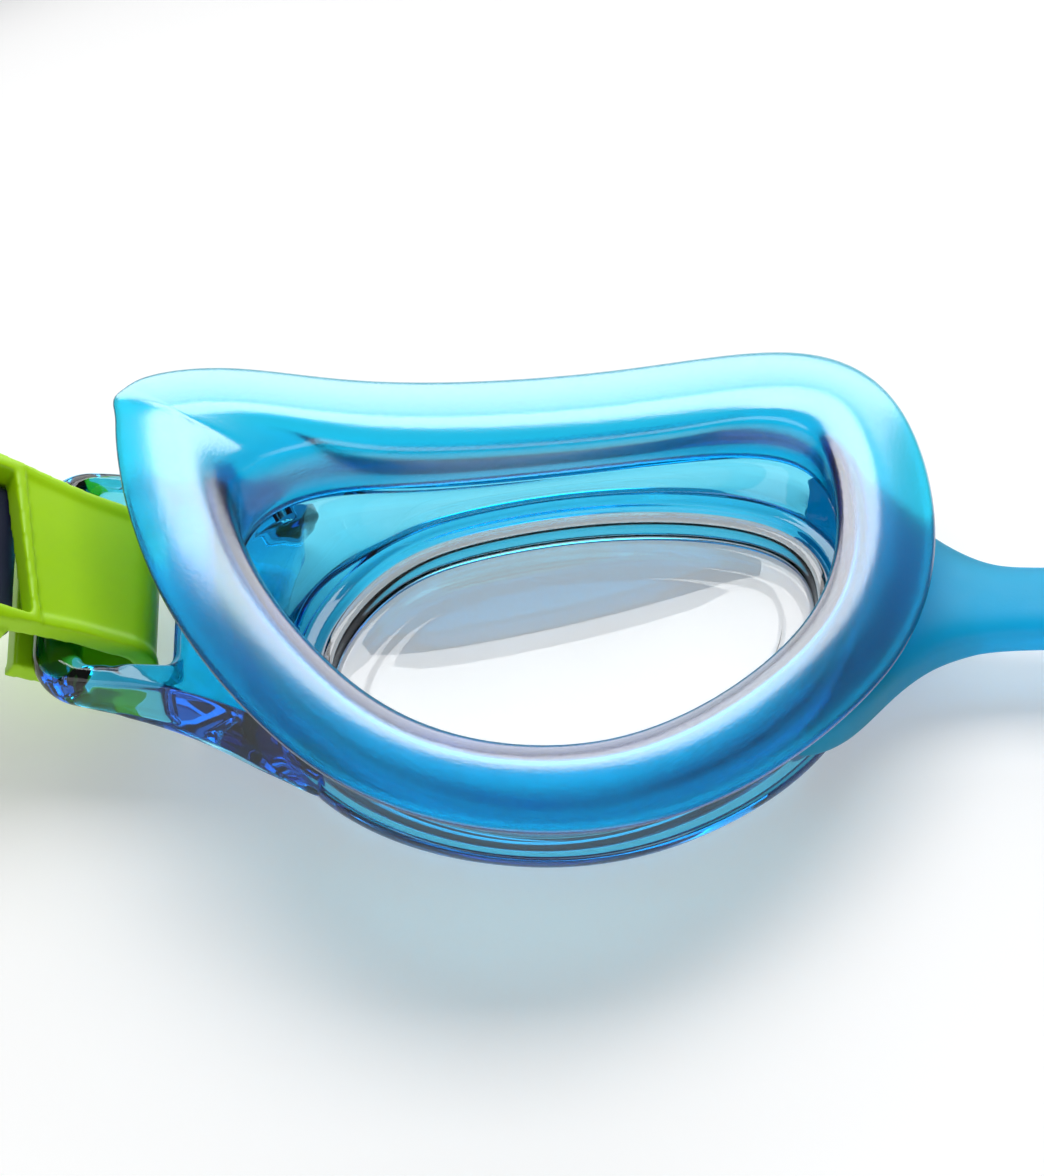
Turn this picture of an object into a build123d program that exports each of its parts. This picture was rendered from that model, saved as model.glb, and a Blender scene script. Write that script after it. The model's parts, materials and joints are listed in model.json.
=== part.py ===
"""Swim goggles lying lens down: two rigid eye frames, a soft nose bridge, soft face seals and a head strap.

Millimetres. +Z points from the lenses to the wearer's face, +Y to the brow and +X to the wearer's right.
The origin is below the middle of the nose bridge, on the plane that the fronts of the eye frames rest on.
Each left-hand piece is modelled, and its right-hand twin is its mirror image.
"""

import os
from math import cos, radians, sin

from build123d import *

# --- driving dimensions ---------------------------------------------------------------------------
CUP_X = -40.0  # centre of the left cup
WALL = 1.8  # top of the eye frame's wall, which the face seal sits on
RIM_WIDTH = 5.0  # from the edge of the lens window to the outside of the eye frame
RIM_CHAMFER = 1.0
FRAME_HEIGHT = 9.5  # from the front of the rim to the seal, at the middle of the cup
FRAME_TILT = 4.5  # degrees: the frame is deeper at the temple than at the nose

LENS_FRONT = 1.0  # the lens sits this far behind the front of the rim
LENS_THICK = 1.8
LENS_RIM = 1.2  # the lens has a raised rim, which clips into the frame
LENS_RIM_TOP = 4.8
LENS_TONGUE = 0.8  # tongue round the rim, which sits in a groove of the frame
TONGUE_LOW, TONGUE_HIGH = 2.0, 3.4
LENS_STEP_IN = 2.6  # the front of the lens has a raised field this far inside the window
LENS_STEP = 0.3
FIT = 0.05  # gap between pieces that clip together

SEAL_TILT = 7.0  # degrees: the flange reaches further back at the temple
SEAL_NECK = 12.2
SEAL_NECK_WALL = 2.1
FLANGE_LOW, FLANGE_HIGH = 14.0, 14.9
CREST_HEIGHT = 16.8
CREST_OUTER, CREST_INNER = 5.2, 6.4  # the crest runs this far inside the edge of the flange
BEAD_MIDDLE = 0.7  # bead under the seal, which plugs into a groove of the frame
BEAD_WIDTH = 0.7
BEAD_DEPTH = 0.9

BRIDGE_Y, BRIDGE_Z = -0.2, 5.5
BRIDGE_HALF_Y, BRIDGE_HALF_Z = 3.3, 1.9
TONGUE_Y, TONGUE_Z = 4.2, 2.0  # tongue of each eye frame, inside the soft nose bridge
HEAD_Y, HEAD_Z, HEAD_X = 5.2, 2.8, 2.4  # head of the tongue, which keeps the bridge on it
TONGUE_END_X = -3.6

POST_X, POST_Z, POST_R = -75.2, 8.2, 1.9  # bar that the strap clip hooks on
ARM_END_X = -77.1
ARM_HALF = 9.8
ARM_CORNER = 3.1
WINDOW_HALF = 8.0
WINDOW_END_X = -66.4  # inner end of the arm's window

CLIP_ANGLE = 30.0  # degrees: the clip leans back from the frame
HOOK_GAP = 2.1  # half the room inside the hook
HOOK_THICK = 1.6
HOOK_REACH = 6.3  # from the post's axis to the inside of the hook's bend
HOOK_LIP = 2.6  # the hook's lip ends here, and the post snaps in past it
BUCKLE_FROM, CLIP_LENGTH = 5.4, 14.0
CLIP_HALF, CLIP_NECK_HALF = 7.8, 6.3
RAIL_INSIDE = 6.2
FLOOR_HIGH = -2.5  # inner face of the clip's lower plate
CLIP_WINDOW_FROM, CLIP_WINDOW_TO = 5.1, 11.8
CROSSBAR_U, CROSSBAR_R = 8.0, 0.7

STRAP_WIDTH, STRAP_THICK = 12.0, 1.5
STRAP_WRAP = 1.5  # radius of the strap's middle round the crossbar
STRAP_V, TAIL_V = 0.8, -1.0  # the strap and its tail leave the clip above and below the post's axis
STRAP_STRAIGHT = 13.5
STRAP_JOIN = 27.0  # along the clip from the post's axis, where the threaded end meets the loop
JOIN_GAP = 0.3
STRAP_LEAD = 4.0  # the loop leaves the threaded end straight over this length
TAIL_FROM, TAIL_END = 10.5, 25.0
TAIL_CORNER = 2.5
KEEPER_FROM, KEEPER_LENGTH = 16.0, 3.8
KEEPER_WALL, KEEPER_GAP = 1.1, 0.15

# Outlines round one cup, as points of a closed smooth curve. x runs to the nose from the cup's centre.
LENS_WINDOW = [
    (3.5, -15.8), (12.0, -13.3), (18.5, -8.4), (22.2, -2.0), (22.4, 3.6), (19.3, 7.0), (13.0, 8.2),
    (5.0, 8.0), (-3.0, 6.4), (-9.5, 3.0), (-14.0, -3.0), (-13.3, -9.5), (-6.5, -14.4),
]  # fmt: skip
APERTURE = [
    (1.0, -20.5), (11.5, -17.8), (19.5, -11.8), (23.8, -3.5), (24.4, 6.0), (21.5, 11.2), (14.5, 12.0),
    (4.0, 10.2), (-8.0, 8.2), (-16.5, 6.0), (-21.3, 0.8), (-19.0, -8.0), (-10.5, -17.0),
]  # fmt: skip
FLANGE = [
    (1.0, -25.6), (13.5, -23.2), (23.0, -16.5), (29.2, -7.5), (31.2, 4.0), (28.3, 14.0), (20.0, 18.4),
    (5.0, 16.6), (-10.0, 15.6), (-23.5, 15.2), (-30.8, 9.0), (-27.2, -7.5), (-15.0, -20.0),
]  # fmt: skip

# Route of the left half of the strap's loop, from where it leaves the clip to near the loop's back.
LOOP_ROUTE = [
    (-105.3, 0.5, 26.0), (-112.5, 5.5, 27.3), (-117.3, 15.5, 24.0), (-118.5, 28.0, 16.5), (-115.5, 41.0, 9.8),
    (-108.0, 55.0, 6.7), (-94.0, 68.5, 6.2), (-72.0, 79.5, 6.2), (-38.0, 86.0, 6.2),
]  # fmt: skip
LOOP_BACK = (0.0, 87.5, 6.2)
TWIST_SHARE = 0.2  # share of the whole loop over which each end turns from flat to on edge
LOOP_SECTIONS = 52


def grow(points, distance):
    """The closed outline through points, each moved outwards by distance."""
    moved = []
    for i, point in enumerate(points):
        before, after = Vector(*points[i - 1]), Vector(*points[(i + 1) % len(points)])
        along = (after - before).normalized()
        moved.append((point[0] + along.Y * distance, point[1] - along.X * distance))
    return moved


def cup_plane(height, tilt=0.0):
    """A plane across the left cup at a height, tilted about the cup's centre to rise at the temple."""
    lean = radians(tilt)
    return Plane((CUP_X, 0, height), x_dir=(cos(lean), 0, -sin(lean)), z_dir=(sin(lean), 0, cos(lean)))


def outline(points, plane):
    """The face inside the closed smooth curve through points, on a plane."""
    with BuildSketch(plane, mode=Mode.PRIVATE) as sketch:
        with BuildLine():
            Spline(*points, periodic=True)
        make_face()
    return sketch.sketch.face()


def drum(*sections):
    """A solid whose ruled wall joins outlines, each given as (points, height, tilt)."""
    return loft([outline(points, cup_plane(height, tilt)) for points, height, tilt in sections], ruled=True)


def mirrored(part, label):
    """The right-hand twin of a left-hand piece."""
    with BuildPart() as twin:
        mirror(part, about=Plane.YZ)
    twin.part.label = label
    return twin.part


# --- lens -----------------------------------------------------------------------------------------
rim_edge = grow(LENS_WINDOW, LENS_RIM)
tongue_edge = grow(LENS_WINDOW, LENS_RIM + LENS_TONGUE)
lens_step_edge = grow(LENS_WINDOW, -LENS_STEP_IN)

with BuildPart() as lens_dish:
    drum((LENS_WINDOW, LENS_FRONT + LENS_THICK, 0), (LENS_WINDOW, LENS_RIM_TOP + 1, 0))

with BuildPart() as lens_left:
    drum((rim_edge, LENS_FRONT, 0), (rim_edge, LENS_RIM_TOP, 0))
    drum((tongue_edge, TONGUE_LOW, 0), (tongue_edge, TONGUE_HIGH, 0))
    drum((lens_step_edge, LENS_FRONT - LENS_STEP, 0), (lens_step_edge, LENS_FRONT + LENS_STEP, 0))
    add(lens_dish.part, mode=Mode.SUBTRACT)
lens_left.part.label = "lens_left"

# --- eye frame ------------------------------------------------------------------------------------
rim_hole = grow(LENS_WINDOW, LENS_RIM + FIT)
groove_edge = grow(tongue_edge, FIT)
frame_back = grow(APERTURE, WALL)


def bead_ring(gap):
    """The bead under the seal or, with a gap, the groove of the frame that takes it."""
    outer = grow(APERTURE, BEAD_MIDDLE + BEAD_WIDTH / 2 + gap)
    inner = grow(APERTURE, BEAD_MIDDLE - BEAD_WIDTH / 2 - gap)
    low, high = FRAME_HEIGHT - BEAD_DEPTH - gap, FRAME_HEIGHT + 0.5
    with BuildPart() as core:
        drum((inner, low - 1, FRAME_TILT), (inner, high + 1, FRAME_TILT))
    with BuildPart() as bead:
        drum((outer, low, FRAME_TILT), (outer, high, FRAME_TILT))
        add(core.part, mode=Mode.SUBTRACT)
    return bead.part


with BuildPart() as frame_hollow:
    drum((rim_hole, -1, 0), (rim_hole, LENS_RIM_TOP, 0))
    drum((rim_hole, LENS_RIM_TOP, 0), (APERTURE, FRAME_HEIGHT, FRAME_TILT))
    drum((groove_edge, TONGUE_LOW - FIT, 0), (groove_edge, TONGUE_HIGH + FIT, 0))

with BuildPart() as frame_shell:
    drum(
        (grow(LENS_WINDOW, RIM_WIDTH - RIM_CHAMFER), 0, 0),
        (grow(LENS_WINDOW, RIM_WIDTH), RIM_CHAMFER, 0),
        (frame_back, FRAME_HEIGHT, FRAME_TILT),
    )

with BuildPart() as arm_left:
    with BuildSketch(Plane.XZ):
        with BuildLine():
            arm_front = Spline((-50, 0.6), (-62, 2.0), (ARM_END_X, POST_Z - POST_R))
            arm_end = Line(arm_front @ 1, (ARM_END_X, POST_Z + POST_R))
            arm_back = Spline(arm_end @ 1, (-68, 9.4), (-50, 8.6))
            Line(arm_back @ 1, arm_front @ 0)
        make_face()
    extrude(amount=20, both=True)
    with BuildSketch(Plane.XY):
        with BuildLine():
            cheek_side = Spline(
                (-50, -17.6), (-57, -14.2), (-64, -11.4), (ARM_END_X + ARM_CORNER, -ARM_HALF)
            )
            RadiusArc(cheek_side @ 1, (ARM_END_X, ARM_CORNER - ARM_HALF), ARM_CORNER)
            Line((ARM_END_X, ARM_CORNER - ARM_HALF), (ARM_END_X, ARM_HALF - ARM_CORNER))
            RadiusArc((ARM_END_X, ARM_HALF - ARM_CORNER), (ARM_END_X + ARM_CORNER, ARM_HALF), ARM_CORNER)
            brow_side = Spline((ARM_END_X + ARM_CORNER, ARM_HALF), (-66, 9.5), (-50, 8.4))
            Line(brow_side @ 1, cheek_side @ 0)
        make_face()
    extrude(amount=20, mode=Mode.INTERSECT)
    with BuildSketch(Plane.XY):
        with Locations((POST_X, 0)):
            RectangleRounded(2 * (WINDOW_END_X - POST_X), 2 * WINDOW_HALF, 1.0)
    extrude(amount=20, mode=Mode.SUBTRACT)
    with BuildSketch(Plane.XZ):
        with Locations((POST_X, POST_Z)):
            Circle(POST_R)
    extrude(amount=WINDOW_HALF + 0.5, both=True)

tongue_from = CUP_X + RIM_WIDTH + LENS_WINDOW[3][0] - 2
with BuildPart() as eye_frame_left:
    add(frame_shell.part)
    add(arm_left.part)
    with Locations(((tongue_from + TONGUE_END_X) / 2, BRIDGE_Y, BRIDGE_Z)):
        Box(TONGUE_END_X - tongue_from, TONGUE_Y, TONGUE_Z)
    with Locations((TONGUE_END_X - HEAD_X / 2, BRIDGE_Y, BRIDGE_Z)):
        Box(HEAD_X, HEAD_Y, HEAD_Z)
    add(frame_hollow.part, mode=Mode.SUBTRACT)
    add(bead_ring(FIT), mode=Mode.SUBTRACT)
eye_frame_left.part.label = "eye_frame_left"

# --- face seal ------------------------------------------------------------------------------------
with BuildPart() as seal_hollow:
    drum(
        (APERTURE, FRAME_HEIGHT - 0.2, FRAME_TILT),
        (APERTURE, SEAL_NECK, FRAME_TILT),
        (grow(FLANGE, -CREST_INNER), CREST_HEIGHT, SEAL_TILT),
        (grow(FLANGE, -CREST_INNER), CREST_HEIGHT + 1, SEAL_TILT),
    )

with BuildPart() as face_seal_left:
    drum(
        (frame_back, FRAME_HEIGHT, FRAME_TILT),
        (grow(APERTURE, SEAL_NECK_WALL), SEAL_NECK, FRAME_TILT),
        (FLANGE, FLANGE_LOW, SEAL_TILT),
        (FLANGE, FLANGE_HIGH, SEAL_TILT),
        (grow(FLANGE, -CREST_OUTER), CREST_HEIGHT, SEAL_TILT),
    )
    add(seal_hollow.part, mode=Mode.SUBTRACT)
    add(bead_ring(0))
face_seal_left.part.label = "face_seal_left"

# --- nose bridge ----------------------------------------------------------------------------------
with BuildPart() as nose_bridge:
    with BuildSketch(Plane.XY.offset(BRIDGE_Z - BRIDGE_HALF_Z)):
        with BuildLine():
            top, bottom = BRIDGE_Y + BRIDGE_HALF_Y, BRIDGE_Y - BRIDGE_HALF_Y
            brow_edge = Spline(
                (-16, 14.0), (-9, 7.4), (-4.5, top + 0.5), (0, top), tangents=[(1, -1), (1, 0)]
            )
            cheek_edge = Spline(
                (-16, -12.5), (-9, -6.0), (-4.5, bottom - 0.3), (0, bottom), tangents=[(1, 1), (1, 0)]
            )
            Line(brow_edge @ 1, cheek_edge @ 1)
            Line(brow_edge @ 0, cheek_edge @ 0)
        make_face()
    extrude(amount=2 * BRIDGE_HALF_Z)
    mirror(about=Plane.YZ)
    add(frame_shell.part, mode=Mode.SUBTRACT)
    add(mirror(frame_shell.part, about=Plane.YZ, mode=Mode.PRIVATE), mode=Mode.SUBTRACT)
    add(eye_frame_left.part, mode=Mode.SUBTRACT)
    add(mirror(eye_frame_left.part, about=Plane.YZ, mode=Mode.PRIVATE), mode=Mode.SUBTRACT)
nose_bridge.part.label = "nose_bridge"

# --- strap clip -----------------------------------------------------------------------------------
# In the clip's own frame u runs outwards from the post's axis, v to the wearer's face, and Y stays.
lean_u = (-cos(radians(CLIP_ANGLE)), 0, sin(radians(CLIP_ANGLE)))
lean_v = (sin(radians(CLIP_ANGLE)), 0, cos(radians(CLIP_ANGLE)))
post_axis = (POST_X, 0, POST_Z)
side_plane = Plane(post_axis, x_dir=lean_u, z_dir=(0, 1, 0))
plan_plane = Plane(post_axis, x_dir=lean_u, z_dir=lean_v)


def clip_point(u, v):
    """The point at u and v of the clip's frame, on the plane Y = 0."""
    return tuple(o + u * a + v * b for o, a, b in zip(post_axis, lean_u, lean_v))


def block(u_from, u_to, v_low, v_high, half_y, mode=Mode.ADD):
    """A block across the clip."""
    with BuildSketch(side_plane, mode=Mode.PRIVATE) as end:
        with Locations(((u_from + u_to) / 2, (v_low + v_high) / 2)):
            Rectangle(u_to - u_from, v_high - v_low)
    extrude(end.sketch, amount=half_y, both=True, mode=mode)


hook_outside = HOOK_GAP + HOOK_THICK
bend_u = HOOK_GAP - HOOK_REACH
with BuildPart() as strap_clip_left:
    block(BUCKLE_FROM, CLIP_LENGTH, -hook_outside, hook_outside, CLIP_HALF)
    block(BUCKLE_FROM - 1, CLIP_LENGTH + 1, FLOOR_HIGH, HOOK_GAP, RAIL_INSIDE, mode=Mode.SUBTRACT)
    with BuildSketch(side_plane):
        with BuildLine():
            Polyline((CLIP_LENGTH, HOOK_GAP), (CLIP_LENGTH, hook_outside), (bend_u, hook_outside))
            ThreePointArc((bend_u, hook_outside), (bend_u - hook_outside, 0), (bend_u, -hook_outside))
            Polyline(
                (bend_u, -hook_outside), (HOOK_LIP, -hook_outside), (HOOK_LIP, -HOOK_GAP), (bend_u, -HOOK_GAP)
            )
            ThreePointArc((bend_u, -HOOK_GAP), (-HOOK_REACH, 0), (bend_u, HOOK_GAP))
            Line((bend_u, HOOK_GAP), (CLIP_LENGTH, HOOK_GAP))
        make_face()
    extrude(amount=CLIP_HALF, both=True)
    with BuildSketch(plan_plane):
        with BuildLine():
            inner_u = -HOOK_REACH - HOOK_THICK - 1
            right_edge = Spline(
                (inner_u, CLIP_NECK_HALF), (0, CLIP_NECK_HALF + 0.3),
                (BUCKLE_FROM, CLIP_HALF - 0.3), (CLIP_LENGTH, CLIP_HALF),
            )
            Line(right_edge @ 1, (CLIP_LENGTH, 0))
            Line((CLIP_LENGTH, 0), (inner_u, 0))
            Line((inner_u, 0), right_edge @ 0)
        make_face()
        mirror(about=Plane.XZ)
    extrude(amount=10, both=True, mode=Mode.INTERSECT)
    with BuildSketch(side_plane):
        with Locations((CROSSBAR_U, 0)):
            Circle(CROSSBAR_R)
    extrude(amount=RAIL_INSIDE + 0.5, both=True)
    block(CLIP_WINDOW_FROM, CLIP_WINDOW_TO, HOOK_GAP - 0.5, hook_outside + 1, RAIL_INSIDE, mode=Mode.SUBTRACT)
strap_clip_left.part.label = "strap_clip_left"

# --- threaded end of the strap, and its keeper ------------------------------------------------------
with BuildPart() as strap_end_left:
    with BuildSketch(side_plane):
        with BuildLine():
            Polyline((STRAP_JOIN, STRAP_V), (STRAP_STRAIGHT, STRAP_V), (CROSSBAR_U, STRAP_WRAP))
            ThreePointArc((CROSSBAR_U, STRAP_WRAP), (CROSSBAR_U - STRAP_WRAP, 0), (CROSSBAR_U, -STRAP_WRAP))
            Polyline((CROSSBAR_U, -STRAP_WRAP), (TAIL_FROM, TAIL_V), (TAIL_FROM + STRAP_THICK, TAIL_V))
            offset(amount=STRAP_THICK / 2)
        make_face()
        # The round ends that the offset leaves are cut off square.
        with Locations((STRAP_JOIN + STRAP_THICK, STRAP_V), (TAIL_FROM + 1.5 * STRAP_THICK, TAIL_V)):
            Rectangle(2 * STRAP_THICK, STRAP_THICK, mode=Mode.SUBTRACT)
    extrude(amount=STRAP_WIDTH / 2, both=True)
strap_end_left.part.label = "strap_end_left"

with BuildPart() as strap_tail_left:
    tail_low, tail_high = TAIL_V - STRAP_THICK / 2, TAIL_V + STRAP_THICK / 2
    block(TAIL_FROM + STRAP_THICK / 2, TAIL_END, tail_low, tail_high, STRAP_WIDTH / 2)
    across_edges = strap_tail_left.edges().filter_by(Axis(post_axis, lean_v))
    tail_corners = across_edges.sort_by(Axis(post_axis, lean_u))[-2:]
    fillet(tail_corners, TAIL_CORNER)
strap_tail_left.part.label = "strap_tail_left"

keeper_high = STRAP_V + STRAP_THICK / 2 + KEEPER_GAP
keeper_low = TAIL_V - STRAP_THICK / 2 - KEEPER_GAP
keeper_half = STRAP_WIDTH / 2 + KEEPER_GAP
keeper_to = KEEPER_FROM + KEEPER_LENGTH
with BuildPart() as tail_keeper_left:
    outer_low, outer_high = keeper_low - KEEPER_WALL, keeper_high + KEEPER_WALL
    block(KEEPER_FROM, keeper_to, outer_low, outer_high, keeper_half + KEEPER_WALL)
    fillet(tail_keeper_left.edges().filter_by(Axis(post_axis, lean_u)), 0.8)
    block(KEEPER_FROM - 1, keeper_to + 1, keeper_low, keeper_high, keeper_half, mode=Mode.SUBTRACT)
tail_keeper_left.part.label = "tail_keeper_left"

# --- loop of the head strap -------------------------------------------------------------------------
loop_from = STRAP_JOIN + JOIN_GAP
loop_start = [clip_point(loop_from, STRAP_V), clip_point(loop_from + STRAP_LEAD, STRAP_V), *LOOP_ROUTE]
loop_end = [(-x, y, z) for x, y, z in reversed(loop_start)]
with BuildLine():
    loop_middle = Spline(*loop_start, LOOP_BACK, *loop_end)


def strap_section(share):
    """The strap's cross-section at a share of the loop. It turns from flat to on edge, and back to flat."""
    along = loop_middle % share
    turn = radians(90) * min(share / TWIST_SHARE, (1 - share) / TWIST_SHARE, 1.0)
    across = Vector(0, cos(turn), sin(turn))
    across = across - along * across.dot(along)
    with BuildSketch(Plane(loop_middle @ share, x_dir=across, z_dir=along), mode=Mode.PRIVATE) as section:
        Rectangle(STRAP_WIDTH, STRAP_THICK)
    return section.sketch.face()


with BuildPart() as head_strap:
    loft([strap_section(i / LOOP_SECTIONS) for i in range(LOOP_SECTIONS + 1)], ruled=True)
head_strap.part.label = "head_strap"

# --- files ------------------------------------------------------------------------------------------
pieces = [nose_bridge.part, head_strap.part]
left_pieces = [lens_left, eye_frame_left, face_seal_left]
left_pieces += [strap_clip_left, strap_end_left, strap_tail_left, tail_keeper_left]
for half in left_pieces:
    pieces.append(half.part)
    pieces.append(mirrored(half.part, half.part.label.replace("left", "right")))

os.makedirs("parts", exist_ok=True)
for piece in pieces:
    export_step(piece, f"parts/{piece.label}.step")
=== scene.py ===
import json
from math import cos, pi, radians, sin

import bmesh
import bpy
import numpy as np
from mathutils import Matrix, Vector


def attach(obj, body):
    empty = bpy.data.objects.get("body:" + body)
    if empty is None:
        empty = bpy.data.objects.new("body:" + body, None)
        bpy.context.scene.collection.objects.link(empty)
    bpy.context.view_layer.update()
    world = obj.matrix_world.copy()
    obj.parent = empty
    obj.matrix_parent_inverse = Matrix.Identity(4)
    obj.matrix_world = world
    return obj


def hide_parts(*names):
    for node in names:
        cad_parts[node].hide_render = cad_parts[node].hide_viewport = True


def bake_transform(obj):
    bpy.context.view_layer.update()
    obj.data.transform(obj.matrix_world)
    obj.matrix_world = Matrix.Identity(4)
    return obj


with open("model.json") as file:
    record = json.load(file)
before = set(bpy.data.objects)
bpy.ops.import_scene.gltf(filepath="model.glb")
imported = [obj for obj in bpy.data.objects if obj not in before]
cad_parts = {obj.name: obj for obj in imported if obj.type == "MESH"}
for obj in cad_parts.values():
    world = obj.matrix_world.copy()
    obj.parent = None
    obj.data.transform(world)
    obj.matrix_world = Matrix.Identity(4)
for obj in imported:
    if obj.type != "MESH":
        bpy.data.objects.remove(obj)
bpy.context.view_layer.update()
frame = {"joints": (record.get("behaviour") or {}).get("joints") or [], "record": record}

# Every size below is in millimetres, in the frame of the CAD model: +X to the wearer's right, +Y to the brow and
# +Z to the face. Each left-hand piece is built, and its right-hand twin is its mirror image.
MM = 0.001
SIDES = (("left", 1.0), ("right", -1.0))


# --- places taken from the frame ----------------------------------------------------------------------------
mounts = {mount["name"]: mount for mount in frame["record"]["mounts"]}
joints = {joint["name"]: joint for joint in frame["joints"]}
CUP_X = mounts["left_face_contact"]["pos_m"][0] / MM
POST_X, _, POST_Z = (value / MM for value in joints["clip_left_swing"]["pos_m"])
CLIP_U = np.array(joints["keeper_left_slide"]["axis"], float)  # outwards along the clip
CLIP_V = np.array([CLIP_U[2], 0.0, -CLIP_U[0]])  # from the clip to the wearer's face


# --- outlines round one cup: x runs to the nose from the cup's centre ---------------------------------------
LENS_WINDOW = [
    (3.5, -15.8), (12.0, -13.3), (18.5, -8.4), (22.2, -2.0), (22.4, 3.6), (19.3, 7.0), (13.0, 8.4),
    (5.0, 8.2), (-3.0, 6.6), (-9.5, 3.4), (-14.0, -3.0), (-13.3, -9.5), (-6.5, -14.4),
]
APERTURE = [
    (1.0, -20.5), (11.5, -17.8), (19.5, -11.8), (23.8, -3.5), (24.4, 6.0), (21.5, 11.3), (14.5, 11.8),
    (4.0, 9.9), (-8.0, 7.8), (-16.5, 6.1), (-21.3, 0.9), (-19.0, -8.0), (-10.5, -17.0),
]
FLANGE = [
    (-1.0, -26.4), (9.0, -24.9), (18.0, -20.0), (25.5, -12.8), (30.2, -5.0), (31.9, 4.5), (29.9, 14.4),
    (24.8, 19.2), (17.5, 19.2), (8.0, 16.8), (-2.5, 14.7), (-13.0, 13.8), (-22.0, 14.1), (-28.4, 12.9),
    (-31.0, 9.9), (-30.6, 3.5), (-28.9, -3.0), (-25.4, -10.6), (-18.6, -19.2), (-10.4, -24.6),
]
CUP_MIDDLE = np.array([2.0, -4.5])
NIB_AT, NIB_HIGH = np.array([-31.0, 10.2]), 0.45  # the moulding nib on the flange's edge
RING_COUNT = 168


def spline_points(controls, t):
    """Points of a uniform cubic B-spline, from four control points each and the place t between two of them."""
    a, b, c, d = controls
    near = (1 - t) ** 3 * a + (3 * t**3 - 6 * t**2 + 4) * b
    return (near + (3 * t + 3 * t**2 - 3 * t**3 + 1) * c + t**3 * d) / 6


def closed_curve(points, count):
    """Points of the smooth closed curve through the given ones: a uniform cubic B-spline."""
    points = np.array(points, float)
    size = len(points)
    unit = np.eye(size)
    control = np.linalg.solve((4 * unit + np.roll(unit, 1, 0) + np.roll(unit, -1, 0)) / 6, points)
    place = np.arange(count) * size / count
    step = place.astype(int)
    t = (place - step)[:, None]
    return spline_points((control[(step + k - 1) % size] for k in range(4)), t)


def open_curve(points, count):
    """Evenly spaced points of the smooth curve through the given ones, from the first to the last."""
    points = np.array(points, float)
    size = len(points)
    system = np.zeros((size + 2, size + 2))
    wanted = np.zeros((size + 2, points.shape[1]))
    for i in range(size):
        system[i, i : i + 3] = np.array([1, 4, 1]) / 6
        wanted[i] = points[i]
    system[size, :3] = (1, -2, 1)
    system[size + 1, -3:] = (1, -2, 1)
    control = np.linalg.solve(system, wanted)
    place = np.linspace(0, size - 1, 40 * size)
    step = np.minimum(place.astype(int), size - 2)
    t = (place - step)[:, None]
    dense = spline_points((control[step + k] for k in range(4)), t)
    length = np.concatenate([[0], np.cumsum(np.linalg.norm(np.diff(dense, axis=0), axis=1))])
    even = np.linspace(0, length[-1], count)
    return np.stack([np.interp(even, length, dense[:, k]) for k in range(points.shape[1])], 1)


def outwards(ring):
    """The unit normals of a closed plane curve that runs anticlockwise."""
    along = np.roll(ring, -1, 0) - np.roll(ring, 1, 0)
    along /= np.linalg.norm(along, axis=1)[:, None]
    return np.stack([along[:, 1], -along[:, 0]], 1)


def bearings(ring):
    """The angle at which each point of a plane curve is seen from the cup's middle."""
    return np.arctan2(*(ring - CUP_MIDDLE).T[::-1])


def at_angles(points, angles):
    """The closed curve through points, where it crosses the rays at these angles from the cup's middle."""
    dense = closed_curve(points, 1500)
    found = np.unwrap(bearings(dense)) % (2 * pi)
    order = np.argsort(found)
    crossed = [np.interp(angles % (2 * pi), found[order], dense[order, k], period=2 * pi) for k in range(2)]
    return np.stack(crossed, 1)


flange = closed_curve(FLANGE, RING_COUNT)
ring_angles = bearings(flange)
window = at_angles(LENS_WINDOW, ring_angles)
aperture = at_angles(APERTURE, ring_angles)
nib = NIB_HIGH * np.exp(-(np.linalg.norm(flange - NIB_AT, axis=1) ** 2))
flange = flange + outwards(flange) * nib[:, None]


def softened(values, passes):
    """Values round a loop, each evened out with its neighbours again and again."""
    for _ in range(passes):
        values = (np.roll(values, 1, 0) + 2 * values + np.roll(values, -1, 0)) / 4
    return values


def grown(ring, distance):
    """A closed plane curve moved outwards. Its normals are evened out more, the further inwards it moves."""
    normals = softened(outwards(ring), int(14 * max(0.0, -distance)))
    normals /= np.linalg.norm(normals, axis=1)[:, None]
    return ring + normals * distance


def on_cup(ring, height, tilt):
    """The plane curve as points of the left cup, on a plane that rises towards the temple."""
    lean = radians(tilt)
    x = CUP_X + ring[:, 0] * cos(lean)
    return np.stack([x, ring[:, 1], height - ring[:, 0] * sin(lean)], 1)


# --- making pieces ------------------------------------------------------------------------------------------
def grid_faces(rows, columns, closed):
    """Quads over rows of points, each a closed line. If closed, the last row also joins the first."""
    faces = []
    for i in range(rows if closed else rows - 1):
        for j in range(columns):
            i2, j2 = (i + 1) % rows, (j + 1) % columns
            faces.append((i * columns + j, i * columns + j2, i2 * columns + j2, i2 * columns + j))
    return faces


def make_piece(name, parts, side, material, smooth=True, levels=0):
    """A mesh object of (points, faces) parts given for the left side, mirrored for the right one."""
    mesh = bpy.data.meshes.new(name)
    points, faces = [], []
    for part_points, part_faces in parts:
        faces += [tuple(k + len(points) for k in face) for face in part_faces]
        points += [tuple(p) for p in np.array(part_points) * (side, 1, 1) * MM]
    mesh.from_pydata(points, [], faces)
    work = bmesh.new()
    work.from_mesh(mesh)
    bmesh.ops.recalc_face_normals(work, faces=work.faces)
    work.to_mesh(mesh)
    work.free()
    mesh.polygons.foreach_set("use_smooth", [smooth] * len(mesh.polygons))
    mesh.materials.append(material)
    piece = bpy.data.objects.new(name, mesh)
    bpy.context.scene.collection.objects.link(piece)
    if levels:
        subdivision = piece.modifiers.new("subdivision", "SUBSURF")
        subdivision.levels = subdivision.render_levels = levels
    return piece


def combine(base, other, operation):
    """The boolean of one helper object with another, which is then removed."""
    modifier = base.modifiers.new("boolean", "BOOLEAN")
    modifier.operation = operation
    modifier.solver = "EXACT"
    modifier.object = other
    settle(base)
    bpy.data.objects.remove(other)


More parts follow.
